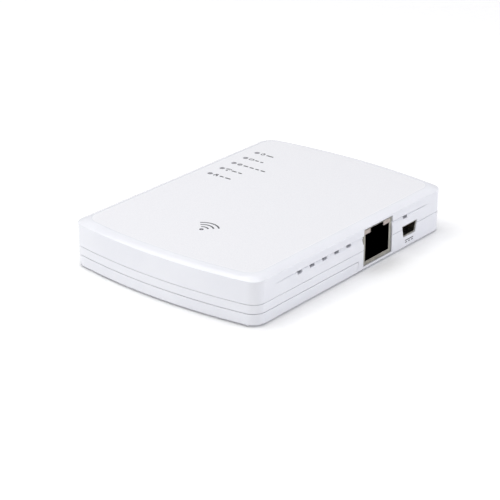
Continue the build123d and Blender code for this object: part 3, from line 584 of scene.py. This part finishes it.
EMBLEM_PLACE = (0.0, -28.4 * MM, PRINT_Z)
EMBLEM_RADII = (2.2 * MM, 3.8 * MM, 5.4 * MM)
EMBLEM_LINE = 0.5 * MM
print_ink("light_signs", light_signs(), PANEL_WAY)
print_ink("radio_emblem", fan(EMBLEM_PLACE, EMBLEM_RADII, EMBLEM_LINE), PANEL_WAY)
print_ink("direct_current_sign", current_sign(), PORT_WAY)


# ---------------------------------------------------------------- floor, light, camera

# The floor's width in metres, and the size in millimetres of its paper's fibre clumps
FLOOR_SIZE = 8.0
FIBRE_MM = 3

bpy.ops.mesh.primitive_plane_add(size=FLOOR_SIZE, location=(0, 0, cad_low.z))
floor = bpy.context.active_object
floor.name = "studio_floor"
# Uncoated white paper, rolled: flat white with a barely clouded face and almost no sheen
paper, paper_tree, paper_place = new_material("matt_white_paper")
fibre = add_node(
    paper_tree, "ShaderNodeTexNoise",
    {"Vector": paper_place, "Scale": per_mm(FIBRE_MM), "Detail": 2.0})
paper_colour = add_node(
    paper_tree, "ShaderNodeValToRGB", {"Fac": fibre.outputs["Fac"]},
    stops=[(NOISE_LOW, "FBFBFB"), (NOISE_HIGH, "FDFDFD")])
paper_shader = add_node(
    paper_tree, "ShaderNodeBsdfPrincipled",
    {"Base Color": paper_colour.outputs["Color"], "Roughness": 0.9, "Specular IOR Level": 0.2})
add_node(paper_tree, "ShaderNodeOutputMaterial", {"Surface": paper_shader.outputs["BSDF"]})
floor.data.materials.append(paper)

# The room's light: white from above, and greyer towards the horizon and below
world = bpy.data.worlds.new("soft_studio")
bpy.context.scene.world = world
world.use_nodes = True
world.node_tree.nodes.clear()
sky_place = add_node(world.node_tree, "ShaderNodeTexCoord").outputs["Generated"]
sky_height = add_node(world.node_tree, "ShaderNodeSeparateXYZ", {"Vector": sky_place})
sky_colour = add_node(
    world.node_tree, "ShaderNodeValToRGB", {"Fac": sky_height.outputs["Z"]},
    stops=[(0.0, "B4B4B8"), (0.25, "D8D8DC"), (0.6, "FFFFFF"), (1.0, "FFFFFF")])
sky = add_node(
    world.node_tree, "ShaderNodeBackground",
    {"Color": sky_colour.outputs["Color"], "Strength": 0.45})
add_node(world.node_tree, "ShaderNodeOutputWorld", {"Surface": sky.outputs["Background"]})


def softbox(name, spot, target, size, watts, tint="FFFFFF"):
    """A rectangular studio light of this width and height in metres, aimed at a point."""
    lamp = bpy.data.lights.new(name, "AREA")
    lamp.shape = "RECTANGLE"
    lamp.size, lamp.size_y = size
    lamp.energy = watts
    lamp.color = srgb(tint)[:3]
    holder = bpy.data.objects.new(name, lamp)
    bpy.context.scene.collection.objects.link(holder)
    holder.location = spot
    holder.rotation_mode = "QUATERNION"
    holder.rotation_quaternion = (Vector(target) - Vector(spot)).to_track_quat("-Z", "Y")


# The lights for the walls aim a little above the floor
FLOOR_POINT = (0, 0, 0)
WALL_POINT = (0, 0, 0.01)
softbox("ceiling_softbox", (0.0, 0.0, 2.0), FLOOR_POINT, size=(2.2, 2.2), watts=22.5)
softbox("left_top_softbox", (-0.22, -0.12, 0.42), FLOOR_POINT, size=(0.34, 0.34), watts=0.65)
softbox("front_softbox", (-0.3, -0.75, 0.2), WALL_POINT, size=(0.4, 0.3), watts=1.35)
softbox("right_softbox", (0.7, 0.55, 0.25), WALL_POINT, size=(0.3, 0.4), watts=2.1, tint="F4F5FF")
softbox("right_front_softbox", (0.75, -0.3, 0.25), WALL_POINT, size=(0.3, 0.4), watts=0.3)

CAMERA_AZIMUTH = math.radians(39.233)
CAMERA_ELEVATION = math.radians(23.801)
CAMERA_SPOT = Vector((305.136, -379.698, 213.518)) * MM
LENS_MM = 124.94
SENSOR_MM = 36.0
camera_data = bpy.data.cameras.new("camera")
camera_data.lens = LENS_MM
camera_data.sensor_width = SENSOR_MM
camera = bpy.data.objects.new("camera", camera_data)
bpy.context.scene.collection.objects.link(camera)
back = Vector((
    math.sin(CAMERA_AZIMUTH) * math.cos(CAMERA_ELEVATION),
    -math.cos(CAMERA_AZIMUTH) * math.cos(CAMERA_ELEVATION),
    math.sin(CAMERA_ELEVATION),
))
camera.location = CAMERA_SPOT
camera.rotation_mode = "QUATERNION"
camera.rotation_quaternion = (-back).to_track_quat("-Z", "Y")
bpy.context.scene.camera = camera
bpy.context.scene.view_settings.view_transform = "Standard"
